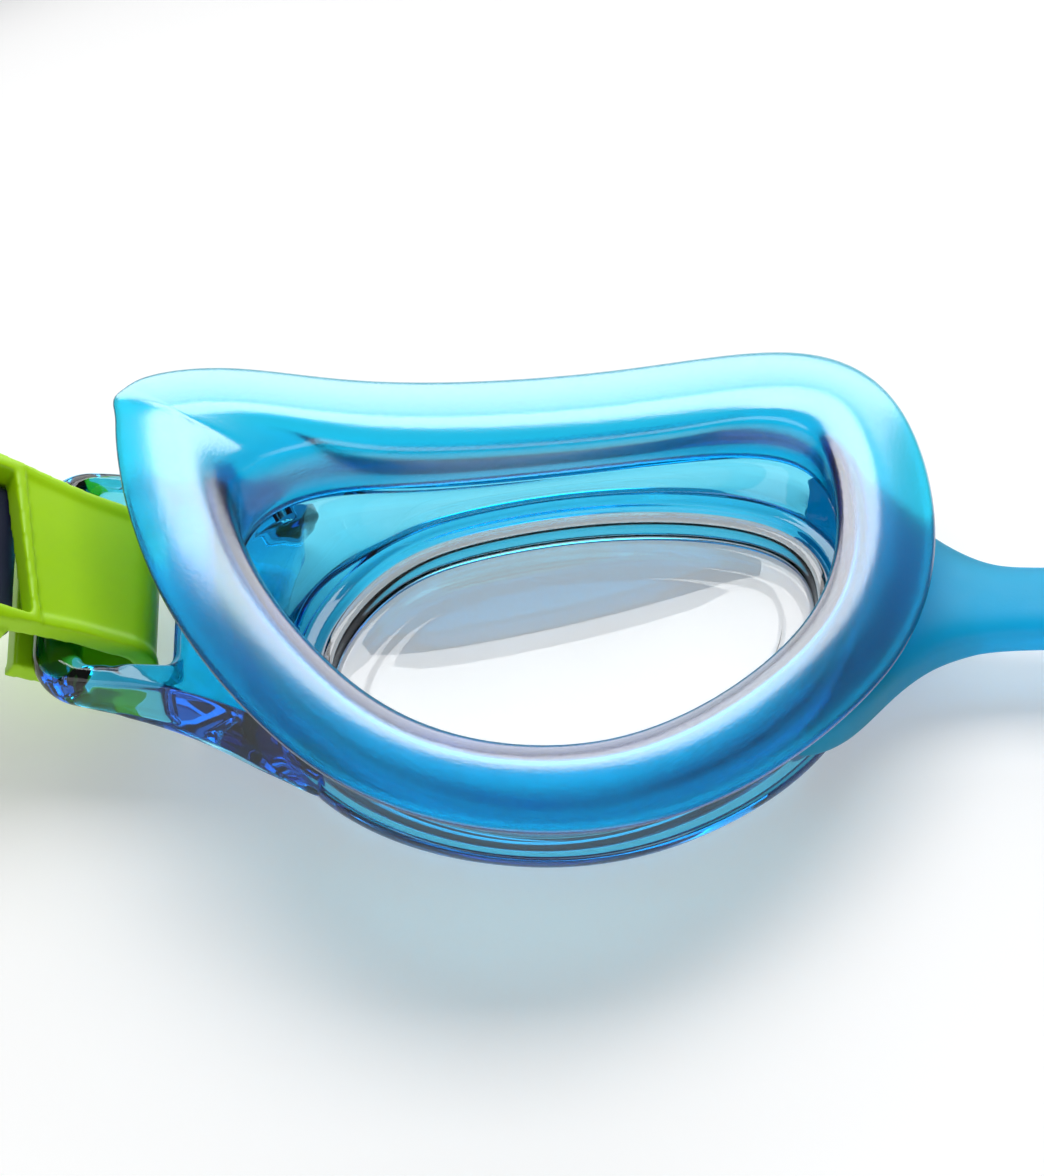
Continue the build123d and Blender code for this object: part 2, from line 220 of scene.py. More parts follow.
def settle(piece):
    """Applies a piece's modifiers to its mesh."""
    graph = bpy.context.evaluated_depsgraph_get()
    mesh = bpy.data.meshes.new_from_object(piece.evaluated_get(graph))
    piece.modifiers.clear()
    piece.data = mesh


def ring_part(rows):
    """A closed tube that runs round in a loop: each row is one closed line of points."""
    rows = np.array(rows)
    return rows.reshape(-1, 3), grid_faces(rows.shape[0], rows.shape[1], True)


def sweep_part(sections):
    """A tube with ends: each section is one closed line of points, and one face closes each end."""
    sections = np.array(sections)
    count, size = sections.shape[:2]
    faces = grid_faces(count, size, False)
    faces.append(tuple(range(size)))
    faces.append(tuple((count - 1) * size + k for k in range(size)))
    return sections.reshape(-1, 3), faces


# --- materials ----------------------------------------------------------------------------------------------
COAT_ROUGH, SOFT_SPECULAR, SOLID_SPECULAR = 0.17, 0.15, 0.3
SATIN_FALL, SATIN_SHARE = 1.3, 0.48  # how fast the satin skin fades face on, and how much of it shows edge on
SATIN_COLOUR, SATIN_ROUGH = (0.50, 0.54, 0.56, 1), 0.2


def new_material(name):
    """A material with only a shader and an output, and its node tree."""
    material = bpy.data.materials.new(name)
    material.use_nodes = True
    tree = material.node_tree
    tree.nodes.clear()
    output = tree.nodes.new("ShaderNodeOutputMaterial")
    shader = tree.nodes.new("ShaderNodeBsdfPrincipled")
    tree.links.new(shader.outputs[0], output.inputs["Surface"])
    return material, tree, shader, output


def noise(tree, scale, detail=3.0):
    """Noise over the piece's own place, scale in turns for each metre."""
    place = tree.nodes.new("ShaderNodeTexCoord")
    node = tree.nodes.new("ShaderNodeTexNoise")
    node.inputs["Scale"].default_value = scale
    node.inputs["Detail"].default_value = detail
    tree.links.new(place.outputs["Object"], node.inputs["Vector"])
    return node.outputs["Fac"]


def spread(tree, value, low, high):
    """A value from 0 to 1, spread over a range."""
    node = tree.nodes.new("ShaderNodeMapRange")
    node.inputs["From Min"].default_value = 0.3
    node.inputs["From Max"].default_value = 0.7
    node.inputs["To Min"].default_value = low
    node.inputs["To Max"].default_value = high
    tree.links.new(value, node.inputs["Value"])
    return node.outputs["Result"]


def tint(tree, value, dark, light):
    """A colour between two, by a value."""
    node = tree.nodes.new("ShaderNodeValToRGB")
    node.color_ramp.elements[0].position = 0.3
    node.color_ramp.elements[1].position = 0.7
    node.color_ramp.elements[0].color = (*dark, 1)
    node.color_ramp.elements[1].color = (*light, 1)
    tree.links.new(value, node.inputs["Fac"])
    return node.outputs["Color"]


def bump(tree, shader, layers):
    """Bumps of several sizes, each (height value, height in metres)."""
    last = None
    for value, height in layers:
        node = tree.nodes.new("ShaderNodeBump")
        node.inputs["Strength"].default_value = 1.0
        node.inputs["Distance"].default_value = height
        tree.links.new(value, node.inputs["Height"])
        if last:
            tree.links.new(last, node.inputs["Normal"])
        last = node.outputs["Normal"]
    tree.links.new(last, shader.inputs["Normal"])
    tree.links.new(last, shader.inputs["Coat Normal"])


def add_satin(tree, shader, output):
    """Mixes a pale satin skin over the shader, stronger where the surface is seen at a low angle."""
    weight = tree.nodes.new("ShaderNodeLayerWeight")
    weight.inputs["Blend"].default_value = 0.5
    curve = tree.nodes.new("ShaderNodeMath")
    curve.operation = "POWER"
    curve.inputs[1].default_value = SATIN_FALL
    amount = tree.nodes.new("ShaderNodeMath")
    amount.operation = "MULTIPLY"
    amount.inputs[1].default_value = SATIN_SHARE
    skin = tree.nodes.new("ShaderNodeBsdfGlossy")
    skin.inputs["Color"].default_value = SATIN_COLOUR
    skin.inputs["Roughness"].default_value = SATIN_ROUGH
    mix = tree.nodes.new("ShaderNodeMixShader")
    tree.links.new(weight.outputs["Facing"], curve.inputs[0])
    tree.links.new(curve.outputs[0], amount.inputs[0])
    tree.links.new(amount.outputs[0], mix.inputs[0])
    tree.links.new(shader.outputs[0], mix.inputs[1])
    tree.links.new(skin.outputs[0], mix.inputs[2])
    tree.links.new(mix.outputs[0], output.inputs["Surface"])


def clear_plastic(name, colour, ior, rough, absorb, density, grain, clearness=1.0, gloss=0.0):
    """A see-through plastic that gets deeper in colour the further light goes through it."""
    material, tree, shader, output = new_material(name)
    shader.inputs["IOR"].default_value = ior
    shader.inputs["Transmission Weight"].default_value = clearness
    shader.inputs["Coat Weight"].default_value = gloss
    shader.inputs["Coat Roughness"].default_value = COAT_ROUGH
    if gloss:
        add_satin(tree, shader, output)
    if clearness < 1.0:
        shader.inputs["Specular IOR Level"].default_value = SOFT_SPECULAR
    tree.links.new(tint(tree, noise(tree, 90.0), [c * 0.96 for c in colour], colour), shader.inputs["Base Color"])
    tree.links.new(spread(tree, noise(tree, 400.0), *rough), shader.inputs["Roughness"])
    bump(tree, shader, grain(tree))
    volume = tree.nodes.new("ShaderNodeVolumeAbsorption")
    volume.inputs["Color"].default_value = (*absorb, 1)
    volume.inputs["Density"].default_value = density
    tree.links.new(volume.outputs[0], output.inputs["Volume"])
    return material


def solid_plastic(name, dark, light, rough, grain, subsurface=0.0):
    """A coloured moulded plastic or silicone."""
    material, tree, shader, output = new_material(name)
    tree.links.new(tint(tree, noise(tree, 120.0), dark, light), shader.inputs["Base Color"])
    tree.links.new(spread(tree, noise(tree, 500.0), *rough), shader.inputs["Roughness"])
    shader.inputs["Subsurface Weight"].default_value = subsurface
    shader.inputs["Subsurface Radius"].default_value = (0.6, 1.0, 0.2)
    shader.inputs["Subsurface Scale"].default_value = 0.001
    shader.inputs["Specular IOR Level"].default_value = SOLID_SPECULAR
    bump(tree, shader, grain(tree))
    return material


def frame_plastic():
    """The eye frames' hard clear blue plastic."""
    return clear_plastic(
        "clear_blue_plastic", (0.50, 0.93, 1.0), 1.53, (0.02, 0.05), (0.0, 0.78, 0.92), 480.0,
        lambda tree: [(noise(tree, 140.0), 0.00001)],
    )


def lens_plastic():
    """The lenses' colourless plastic."""
    return clear_plastic(
        "clear_lens", (0.99, 0.995, 1.0), 1.5, (0.0, 0.01), (0.6, 0.85, 1.0), 6.0,
        lambda tree: [(noise(tree, 60.0), 0.000002)],
    )


def seal_elastomer():
    """The face seals' soft see-through blue, with a satin skin."""
    return clear_plastic(
        "soft_blue_elastomer", (0.04, 0.84, 1.0), 1.5, (0.20, 0.26), (0.0, 0.80, 0.94), 1300.0,
        lambda tree: [(noise(tree, 300.0), 0.000012), (noise(tree, 4200.0, 2.0), 0.000014)], gloss=1.0,
    )


def bridge_elastomer():
    """The nose bridge's soft cloudy cyan."""
    return clear_plastic(
        "soft_cyan_elastomer", (0.0, 0.58, 0.86), 1.4, (0.42, 0.52), (0.0, 0.80, 0.94), 420.0,
        lambda tree: [(noise(tree, 250.0), 0.00002), (noise(tree, 4000.0, 2.0), 0.000008)], clearness=0.62,
    )


def lime_plastic():
    """The strap clips' lime plastic."""
    return solid_plastic(
        "lime_plastic", (0.33, 0.62, 0.001), (0.37, 0.68, 0.002), (0.30, 0.38),
        lambda tree: [(noise(tree, 260.0), 0.000012), (noise(tree, 4500.0, 2.0), 0.000004)], subsurface=0.15,
    )


def navy_silicone():
    """The strap's and the keepers' navy silicone."""
    return solid_plastic(
        "navy_silicone", (0.012, 0.013, 0.045), (0.018, 0.020, 0.062), (0.34, 0.44),
        lambda tree: [(noise(tree, 200.0), 0.00002), (noise(tree, 6000.0, 2.0), 0.000006)],
    )


frame_material, lens_material, seal_material = frame_plastic(), lens_plastic(), seal_elastomer()
bridge_material, clip_material, strap_material = bridge_elastomer(), lime_plastic(), navy_silicone()


# --- face seals ---------------------------------------------------------------------------------------------
JOINT_TILT, SEAL_TILT = 4.5, 7.0
WIDE_FROM, WIDE_OVER, WIDE_PULL = 8.0, 5.0, 0.7  # from which width, over how much more, and how strongly

flange_width = np.linalg.norm(flange - aperture, axis=1)
wide_places = softened(np.clip((flange_width - WIDE_FROM) / WIDE_OVER, 0, 1), 8)[:, None]


def seal_row(share, aperture_out, flange_out, height):
    """One closed line of the seal, between the aperture (share 0) and the flange (share 1).

    Where the flange is wide, at the temple's corner, the lines between keep closer to the aperture.
    """
    if share < 1:
        share = share * (1 - WIDE_PULL * wide_places)
    low = on_cup(grown(aperture, aperture_out), 0, JOINT_TILT)
    high = on_cup(grown(flange, flange_out), 0, SEAL_TILT)
    return low * (1 - share) + high * share + (0, 0, height)


def seal_rows():
    """The seal's section: up the inner wall, over the crest, out to the flange's thin edge, and back below it."""
    return [
        seal_row(0, 0.15, 0, 9.5),
        seal_row(0, 0.05, 0, 9.7),
        seal_row(0, 0.0, 0, 10.6),
        seal_row(0.12, -0.15, -8.0, 11.9),
        seal_row(0.35, -0.15, -8.2, 13.4),
        seal_row(0.55, -0.1, -8.2, 14.6),
        seal_row(0.65, 0, -8.0, 15.25),
        seal_row(0.72, 0, -7.5, 15.68),
        seal_row(0.85, 0, -6.6, 16.05),
        seal_row(1, 0, -5.5, 16.27),
        seal_row(1, 0, -4.6, 16.27),
        seal_row(1, 0, -3.6, 16.1),
        seal_row(1, 0, -2.4, 15.73),
        seal_row(1, 0, -1.2, 15.25),
        seal_row(1, 0, -0.35, 14.86),
        seal_row(1, 0, -0.05, 14.65),
        seal_row(1, 0, 0.0, 14.42),
        seal_row(1, 0, -0.1, 14.22),
        seal_row(1, 0, -0.5, 14.15),
        seal_row(1, 0, -1.7, 14.5),
        seal_row(1, 0, -3.2, 14.95),
        seal_row(1, 0, -4.6, 15.1),
        seal_row(1, 0, -5.6, 14.95),
        seal_row(0.9, 1.3, -6.2, 14.55),
        seal_row(0.7, 1.2, -6.7, 13.9),
        seal_row(0.42, 1.3, -6.7, 12.9),
        seal_row(0.15, 1.6, -6.2, 11.5),
        seal_row(0, 1.85, 0, 10.4),
        seal_row(0, 1.75, 0, 9.75),
        seal_row(0, 1.6, 0, 9.5),
        seal_row(0, 0.9, 0, 9.5),
    ]


for name, side in SIDES:
    seal = make_piece(f"face_seal.{name}", [ring_part(seal_rows())], side, seal_material, levels=1)
    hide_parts(f"face_seal_{name}")
    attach(seal, "frame")


# --- eye frames ---------------------------------------------------------------------------------------------
def frame_row(share, window_out, aperture_out, height):
    """One closed line of the cup, between the lens window (share 0) and the aperture under the seal (share 1)."""
    low = on_cup(grown(window, window_out), 0, 0)
    high = on_cup(grown(aperture, aperture_out), 0, JOINT_TILT)
    return low * (1 - share) + high * share + (0, 0, height)


def cup_rows():
    """The cup's section: from the seal down the inside, round the lens seat to the front, and up the outside."""
    return [
        frame_row(1, 0, 0.10, 9.45),
        frame_row(1, 0, -0.02, 9.3),
        frame_row(0.9, 1.9, -0.1, 8.8),
        frame_row(0.5, 2.4, -0.1, 7.1),
        frame_row(0.18, 2.7, -0.1, 6.0),
        frame_row(0.08, 2.75, 0, 5.75),
        frame_row(0.04, 2.6, 0, 5.3),
        frame_row(0.0, 2.45, 0, 5.15),
        frame_row(0.0, 1.75, 0, 5.1),
        frame_row(0.0, 1.6, 0, 5.05),
        frame_row(0.0, 1.5, 0, 4.75),
        frame_row(0.0, 1.35, 0, 4.65),
        frame_row(0.0, 1.25, 0, 4.55),
        frame_row(0.0, 1.25, 0, 3.0),
        frame_row(0.0, 1.25, 0, 0.8),
        frame_row(0.0, 1.35, 0, 0.3),
        frame_row(0.0, 1.8, 0, 0.05),
        frame_row(0.0, 2.4, 0, 0.0),
        frame_row(0.0, 3.7, 0, 0.0),
        frame_row(0.0, 4.3, 0, 0.1),
        frame_row(0.0, 4.75, 0, 0.5),
        frame_row(0.0, 5.0, 0, 1.2),
        frame_row(0.1, 5.0, 1.8, 2.0),
        frame_row(0.14, 4.95, 1.8, 2.3),
        frame_row(0.15, 4.7, 1.6, 2.42),
        frame_row(0.2, 4.65, 1.55, 2.8),
        frame_row(0.6, 4.8, 1.45, 6.3),
        frame_row(0.68, 4.8, 1.5, 6.9),
        frame_row(0.7, 4.9, 1.75, 7.05),
        frame_row(0.75, 5.0, 1.85, 7.4),
        frame_row(0.95, 5.0, 1.85, 9.0),
        frame_row(1, 0, 1.8, 9.3),
        frame_row(1, 0, 1.65, 9.45),
        frame_row(1, 0, 0.9, 9.45),
    ]


WALL_LOW_OUT, WALL_HIGH_OUT = 3.9, 0.9  # the middle of the cup's wall: out from the lens window and the aperture
WALL_FROM, WALL_RISE = 1.0, 7.6


def stop_in_wall(points, cup=1.0):
    """Moves the points that lie inside the cup out to the middle of its wall."""
    points = np.array(points, float)
    local = (points[:, :2] - (cup * CUP_X, 0)) * (cup, 1) - CUP_MIDDLE
    around = np.arctan2(local[:, 1], local[:, 0]) % (2 * pi)
    reach = np.linalg.norm(local, axis=1)
    limits = []
    for ring in (grown(window, WALL_LOW_OUT), grown(aperture, WALL_HIGH_OUT)):
        angles = bearings(ring) % (2 * pi)
        order = np.argsort(angles)
        radii = np.linalg.norm(ring - CUP_MIDDLE, axis=1)
        limits.append(np.interp(around, angles[order], radii[order], period=2 * pi))
    share = np.clip((points[:, 2] - WALL_FROM) / WALL_RISE, 0, 1)
    limit = limits[0] * (1 - share) + limits[1] * share
    grow = np.maximum(1.0, limit / np.maximum(reach, 0.1))[:, None]
    points[:, :2] = (CUP_MIDDLE + local * grow) * (cup, 1) + (cup * CUP_X, 0)
    return points


# The arm: a plate round the window that the strap clip passes through. Its outer side is the post.
WINDOW_IN_X, WINDOW_OUT_X, WINDOW_Y = -66.4, POST_X + 1.9, 8.0
ARM_OUT_X, ARM_Y, ARM_CORNER = POST_X - 2.0, 9.9, 3.4
ARM_ROOT_X, ARM_ROOT_Y = -56.0, 9.0
ROUND_OUT, ROUND_IN = 1.2, 0.8  # radii of the window's corners at the post and at the cup
ARM_SAMPLES = 36


def arm_front(x):
    """Height of the arm's front side."""
    return np.interp(x, (-77.2, -73.0, -66.0, -60.0, -52.0), (POST_Z - 2.0, POST_Z - 2.6, 3.6, 1.7, 0.6))


def arm_back(x):
    """Height of the arm's back, which the wearer's temple faces."""
    return np.interp(x, (-77.2, -73.0, -66.0, -60.0, -52.0), (POST_Z + 2.0, POST_Z + 1.9, 9.7, 9.2, 8.4))


def rounded(corner, radius, start, samples):
    """Points of a quarter circle that rounds a corner, from an angle in degrees."""
    turns = np.radians(np.linspace(start, start + 90, samples))
    return [(corner[0] + radius * cos(t), corner[1] + radius * sin(t)) for t in turns]


def arm_outlines():
    """The window's outline and the arm's outer outline, point by point, from the brow side round to the cup."""
    inner, outer = [], []
    # Brow side, from the cup to the post.
    for t in np.linspace(0, 1, ARM_SAMPLES)[:-1]:
        run = t * (WINDOW_OUT_X - WINDOW_IN_X + (ROUND_OUT + ROUND_IN))
        inner.append((WINDOW_IN_X - ROUND_IN + run, WINDOW_Y))
        out = t * (ARM_OUT_X + ARM_CORNER - ARM_ROOT_X)
        outer.append((ARM_ROOT_X + out, ARM_ROOT_Y + (ARM_Y - ARM_ROOT_Y) * t))
    inner += rounded((WINDOW_OUT_X + ROUND_OUT, WINDOW_Y - ROUND_OUT), ROUND_OUT, 90, 8)
    outer += rounded((ARM_OUT_X + ARM_CORNER, ARM_Y - ARM_CORNER), ARM_CORNER, 90, 8)
    for t in np.linspace(0, 1, ARM_SAMPLES)[1:-1]:
        inner.append((WINDOW_OUT_X, (WINDOW_Y - ROUND_OUT) * (1 - 2 * t)))
        outer.append((ARM_OUT_X, (ARM_Y - ARM_CORNER) * (1 - 2 * t)))
    inner += rounded((WINDOW_OUT_X + ROUND_OUT, ROUND_OUT - WINDOW_Y), ROUND_OUT, 180, 8)
    outer += rounded((ARM_OUT_X + ARM_CORNER, ARM_CORNER - ARM_Y), ARM_CORNER, 180, 8)
    cheek_route = [(ARM_OUT_X + ARM_CORNER, -ARM_Y), (-66.5, -10.6), (-60.5, -12.4), (-55.0, -14.9)]
    cheek = open_curve(cheek_route, ARM_SAMPLES)
    for t, point in list(zip(np.linspace(0, 1, ARM_SAMPLES), cheek))[1:]:
        back = t * (WINDOW_IN_X - WINDOW_OUT_X - (ROUND_OUT + ROUND_IN))
        inner.append((WINDOW_OUT_X + ROUND_OUT + back, -WINDOW_Y))
        outer.append(tuple(point))
    inner += rounded((WINDOW_IN_X - ROUND_IN, ROUND_IN - WINDOW_Y), ROUND_IN, 270, 4)[1:]
    outer += [(-55.4, -14.1), (-56.0, -13.1), (-56.6, -12.0)]
    for t in np.linspace(0, 1, ARM_SAMPLES)[1:-1]:
        inner.append((WINDOW_IN_X, (ROUND_IN - WINDOW_Y) * (1 - 2 * t)))
        outer.append((-58.8 + 2.2 * abs(1 - 2 * t) ** 2, -11.0 + 17.5 * t))
    inner += rounded((WINDOW_IN_X - ROUND_IN, WINDOW_Y - ROUND_IN), ROUND_IN, 0, 4)[:-1]
    outer += [(-57.0, 7.2), (-56.6, 7.8), (-56.2, 8.5)]
    return np.array(inner), np.array(outer)


def arm_rows():
    """The arm's section at each point round its window: a rounded rectangle, nearly round at the post."""
    inner, outer = arm_outlines()
    across = outer - inner
    width = np.linalg.norm(across, axis=1)
    across /= width[:, None]
    rows = []
    corners = ((0, 0, 180), (1, 0, 270), (1, 1, 0), (0, 1, 90))
    for far, top, start in corners:
        for turn in np.radians(np.linspace(start, start + 90, 6)):
            place = inner + across * (width * far)[:, None]
            low, high = arm_front(place[:, 0]), arm_back(place[:, 0])
            radius = np.minimum(np.interp(place[:, 0], (-77.2, -73.0, -70.0), (1.9, 1.9, 0.9)), width / 2 - 0.02)
            radius = np.minimum(radius, (high - low) / 2 - 0.02)
            middle = np.where(far, width - radius, radius)
            point = inner + across * (middle + radius * cos(turn))[:, None]
            low, high = arm_front(point[:, 0]), arm_back(point[:, 0])
            height = np.where(top, high - radius, low + radius) + radius * sin(turn)
            rows.append(np.column_stack([point, height]))
    return rows


for name, side in SIDES:
    cup = make_piece(f"eye_frame.{name}", [ring_part(cup_rows())], side, frame_material, levels=1)
    settle(cup)
    arm_points, arm_faces = ring_part(arm_rows())
    arm = make_piece("arm", [(stop_in_wall(arm_points), arm_faces)], side, frame_material, levels=1)
    settle(arm)
    combine(cup, arm, "UNION")
    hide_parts(f"eye_frame_{name}")
    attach(cup, "frame")


# --- lenses -------------------------------------------------------------------------------------------------
def lens_part():
    """The lens: a raised rim round a dished field, with a shallow step on the front."""
    back_edge, front_edge = (-1.2, 2.8), (-2.8, 0.72)
    rows = [
        back_edge, (-0.4, 2.85), (-0.1, 3.1), (0.0, 3.5), (0.05, 4.4), (0.2, 4.7), (0.5, 4.78), (0.9, 4.78),
        (1.1, 4.7), (1.2, 4.5), (1.2, 1.3), (1.1, 1.05), (0.8, 1.0), (-2.3, 1.0), (-2.5, 0.9), (-2.6, 0.8),
        front_edge,
    ]
    rings = [on_cup(grown(window, out), height, 0) for out, height in rows]
    middle = CUP_MIDDLE - (0, -0.5)
    for share in (0.55, 0.25):
        rings.append(on_cup(middle + (grown(window, front_edge[0]) - middle) * share, front_edge[1], 0))
        rings.insert(0, on_cup(middle + (grown(window, back_edge[0]) - middle) * share, back_edge[1], 0))
    points = np.array(rings)
    count, size = points.shape[:2]
    faces = grid_faces(count, size, False)
    flat = [tuple(p) for p in points.reshape(-1, 3)]
    for ring, height in ((0, back_edge[1]), (count - 1, front_edge[1])):
        flat.append((CUP_X + middle[0], middle[1], height))
        hub = len(flat) - 1
        faces += [(ring * size + k, ring * size + (k + 1) % size, hub) for k in range(size)]
    return np.array(flat), faces


for name, side in SIDES:
    lens = make_piece(f"lens.{name}", [lens_part()], side, lens_material, levels=1)
    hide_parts(f"lens_{name}")
    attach(lens, "frame")


# --- nose bridge --------------------------------------------------------------------------------------------
BRIDGE_OUT = (0, 2.5, 4.5, 6.5, 8.5, 10.5, 12.5, 15.0, 18.0, 21.0)
BRIDGE_BROW = (3.1, 3.2, 3.7, 4.8, 6.4, 8.4, 10.4, 12.4, 13.4, 14.0)
BRIDGE_CHEEK = (-3.5, -3.55, -3.75, -4.2, -5.0, -6.4, -8.4, -10.9, -12.4, -12.2)
BRIDGE_END = BRIDGE_OUT[-1]
BRIDGE_SQUARE = 0.62  # the power that makes the section squarer than an oval
BRIDGE_LEAN, LEAN_FROM = 0.55, 14.0  # how far the bridge's ends lean back at the brow side, and from where


def bridge_part():
    """The soft bridge: an oval bar, narrow in the middle, that spreads where it meets the two cups."""
    brow_line = open_curve(list(zip(BRIDGE_OUT, BRIDGE_BROW)), 120)
    cheek_line = open_curve(list(zip(BRIDGE_OUT, BRIDGE_CHEEK)), 120)
    sections = []
    for x in np.linspace(-BRIDGE_END, BRIDGE_END, 85):
        out = abs(x)
        brow = np.interp(out, *brow_line.T)
        cheek = np.interp(out, *cheek_line.T)
        front = np.interp(out, (0, 5, 10, 15, 21), (3.6, 3.4, 2.2, 1.2, 0.9))
        back = np.interp(out, (0, 5, 10, 15, 21), (7.4, 7.4, 7.8, 8.3, 8.3))
        section = []
        for turn in np.linspace(0, 2 * pi, 48, endpoint=False):
            c, s = cos(turn), sin(turn)
            y = (brow + cheek) / 2 + (brow - cheek) / 2 * np.sign(c) * abs(c) ** BRIDGE_SQUARE
            z = (front + back) / 2 + (back - front) / 2 * np.sign(s) * abs(s) ** BRIDGE_SQUARE
            lean = BRIDGE_LEAN * max(0.0, out - LEAN_FROM) * (y - cheek) / (brow - cheek)
            section.append((x - np.sign(x) * lean, y, z))
        sections.append(section)
    ends = []
    for end in (sections[0], sections[-1]):
        middle = np.mean(end, axis=0)
        ends.append([middle + (np.array(end) - middle) * share for share in (0.8, 0.6, 0.4, 0.2, 0.03)])
    points, faces = sweep_part(ends[0][::-1] + sections + ends[1])
    return stop_in_wall(stop_in_wall(points), cup=-1.0), faces


bridge = make_piece("nose_bridge.soft", [bridge_part()], 1.0, bridge_material, levels=1)
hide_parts("nose_bridge")
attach(bridge, "frame")


# --- strap clips --------------------------------------------------------------------------------------------
HOOK_GAP, HOOK_THICK, HOOK_REACH, HOOK_LIP = 2.1, 1.6, 6.3, 2.6
BUCKLE_FROM, CLIP_LENGTH, CLIP_HALF, CLIP_NECK_HALF = 5.4, 14.0, 7.8, 6.3
RAIL_INSIDE, FLOOR_HIGH = 6.2, -2.5
BAR_U, BAR_WIDE, CROSSBAR_R = 7.0, 1.45, 0.7
CLIP_WINDOW_FROM, CLIP_WINDOW_TO = 5.1, 11.8
RIDGE_WIDTH, RIDGE_HIGH, RIM_HIGH = 0.8, 0.35, 0.2
WINDOW_SLANT = 1.1  # how far the window's inner end leans outwards at the brow side
VOXEL, ROUNDING_PASSES = 0.17, 9


def on_clip(u, v, y):
    """A point of the left clip: u outwards from the post, v to the face, y to the brow."""
    return np.array([POST_X, 0.0, POST_Z]) + u * CLIP_U + v * CLIP_V + np.array([0.0, y, 0.0])


def clip_half(u):
    """Half the clip's width, which grows from the hook to the buckle."""
    return float(np.interp(u, (-8, 0, 3, 6, 9, 14), (CLIP_NECK_HALF, 6.6, 6.95, 7.4, 7.7, CLIP_HALF)))


def clip_block(u0, u1, v0, v1, y0, y1, slant=0.0):
    """A block in the clip's own frame. With a slant its inner end leans outwards at the brow side."""
    lean = {u0: slant, u1: 0.0}
    corners = [on_clip(u + lean[u] * np.sign(y), v, y) for u in (u0, u1) for v in (v0, v1) for y in (y0, y1)]
    faces = [(0, 1, 3, 2), (4, 6, 7, 5), (0, 4, 5, 1), (2, 3, 7, 6), (0, 2, 6, 4), (1, 5, 7, 3)]
    return np.array(corners), faces


def hook_part():
    """The hook and the clip's upper plate: a bent strip as wide as the clip is at each place."""
    outside = HOOK_GAP + HOOK_THICK
    bend = HOOK_GAP - HOOK_REACH
    sections = [[(u, HOOK_GAP), (u, outside)] for u in np.linspace(CLIP_LENGTH, bend, 22)]
    for turn in np.radians(np.linspace(90, 270, 25)[1:-1]):
        sections.append([(bend + r * cos(turn), r * sin(turn)) for r in (HOOK_GAP, outside)])
    for u in np.linspace(bend, HOOK_LIP, 10):
        sections.append([(u, -HOOK_GAP), (u, -outside)])
    rings = []
    for inner, outer in sections:
        inner, outer = np.array(inner), np.array(outer)
        half = clip_half((inner[0] + outer[0]) / 2)
        rim = outer + (outer - inner) / HOOK_THICK * RIM_HIGH
        line = [(inner, -half), (rim, -half), (rim, 0.8 - half), (outer, 1.2 - half)]
        line += [(point, -y) for point, y in line[::-1]]
        rings.append([on_clip(*point, y) for point, y in line])
    return sweep_part(rings)


def bar_part(sides=24):
    """The oval crossbar that the strap wraps round."""
    rings = []
    for y in (-RAIL_INSIDE - 0.5, RAIL_INSIDE + 0.5):
        turns = np.linspace(0, 2 * pi, sides, endpoint=False)
        rings.append([on_clip(BAR_U + BAR_WIDE * cos(t), CROSSBAR_R * sin(t), y) for t in turns])
    return sweep_part(rings)


def clip_piece(name, side):
    """The strap clip: its parts joined, its window cut, and then its edges rounded by an even mesh, smoothed."""
    outside = HOOK_GAP + HOOK_THICK
    clip = make_piece(f"strap_clip.{name}", [hook_part()], side, clip_material, smooth=False)
    for y in (-1, 1):
        inner, outer = sorted((y * RAIL_INSIDE, y * (CLIP_HALF - 0.12)))
        rail = clip_block(BUCKLE_FROM, CLIP_LENGTH, -outside, HOOK_GAP + 0.4, inner, outer)
        combine(clip, make_piece("rail", [rail], side, clip_material), "UNION")
    floor = clip_block(BUCKLE_FROM, CLIP_LENGTH - 0.8, -outside, FLOOR_HIGH, -RAIL_INSIDE - 0.4, RAIL_INSIDE + 0.4)
    combine(clip, make_piece("floor", [floor], side, clip_material), "UNION")
    ridge = clip_block(
        CLIP_WINDOW_FROM - RIDGE_WIDTH, CLIP_WINDOW_TO + RIDGE_WIDTH, outside - 0.5, outside + RIDGE_HIGH,
        -RAIL_INSIDE - RIDGE_WIDTH, RAIL_INSIDE + RIDGE_WIDTH, WINDOW_SLANT,
    )
    combine(clip, make_piece("ridge", [ridge], side, clip_material), "UNION")
    opening = clip_block(
        CLIP_WINDOW_FROM, CLIP_WINDOW_TO, HOOK_GAP - 1, outside + 1, -RAIL_INSIDE, RAIL_INSIDE, WINDOW_SLANT
    )
    combine(clip, make_piece("opening", [opening], side, clip_material), "DIFFERENCE")
    combine(clip, make_piece("bar", [bar_part()], side, clip_material), "UNION")
    even = clip.modifiers.new("even", "REMESH")
    even.mode = "VOXEL"
    even.voxel_size = VOXEL * MM
    rounding = clip.modifiers.new("rounding", "SMOOTH")
    rounding.factor = 0.5
    rounding.iterations = ROUNDING_PASSES
    settle(clip)
    clip.data.polygons.foreach_set("use_smooth", [True] * len(clip.data.polygons))
    return clip


for name, side in SIDES:
    clip = clip_piece(name, side)
    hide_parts(f"strap_clip_{name}")
    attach(clip, f"clip_{name}")


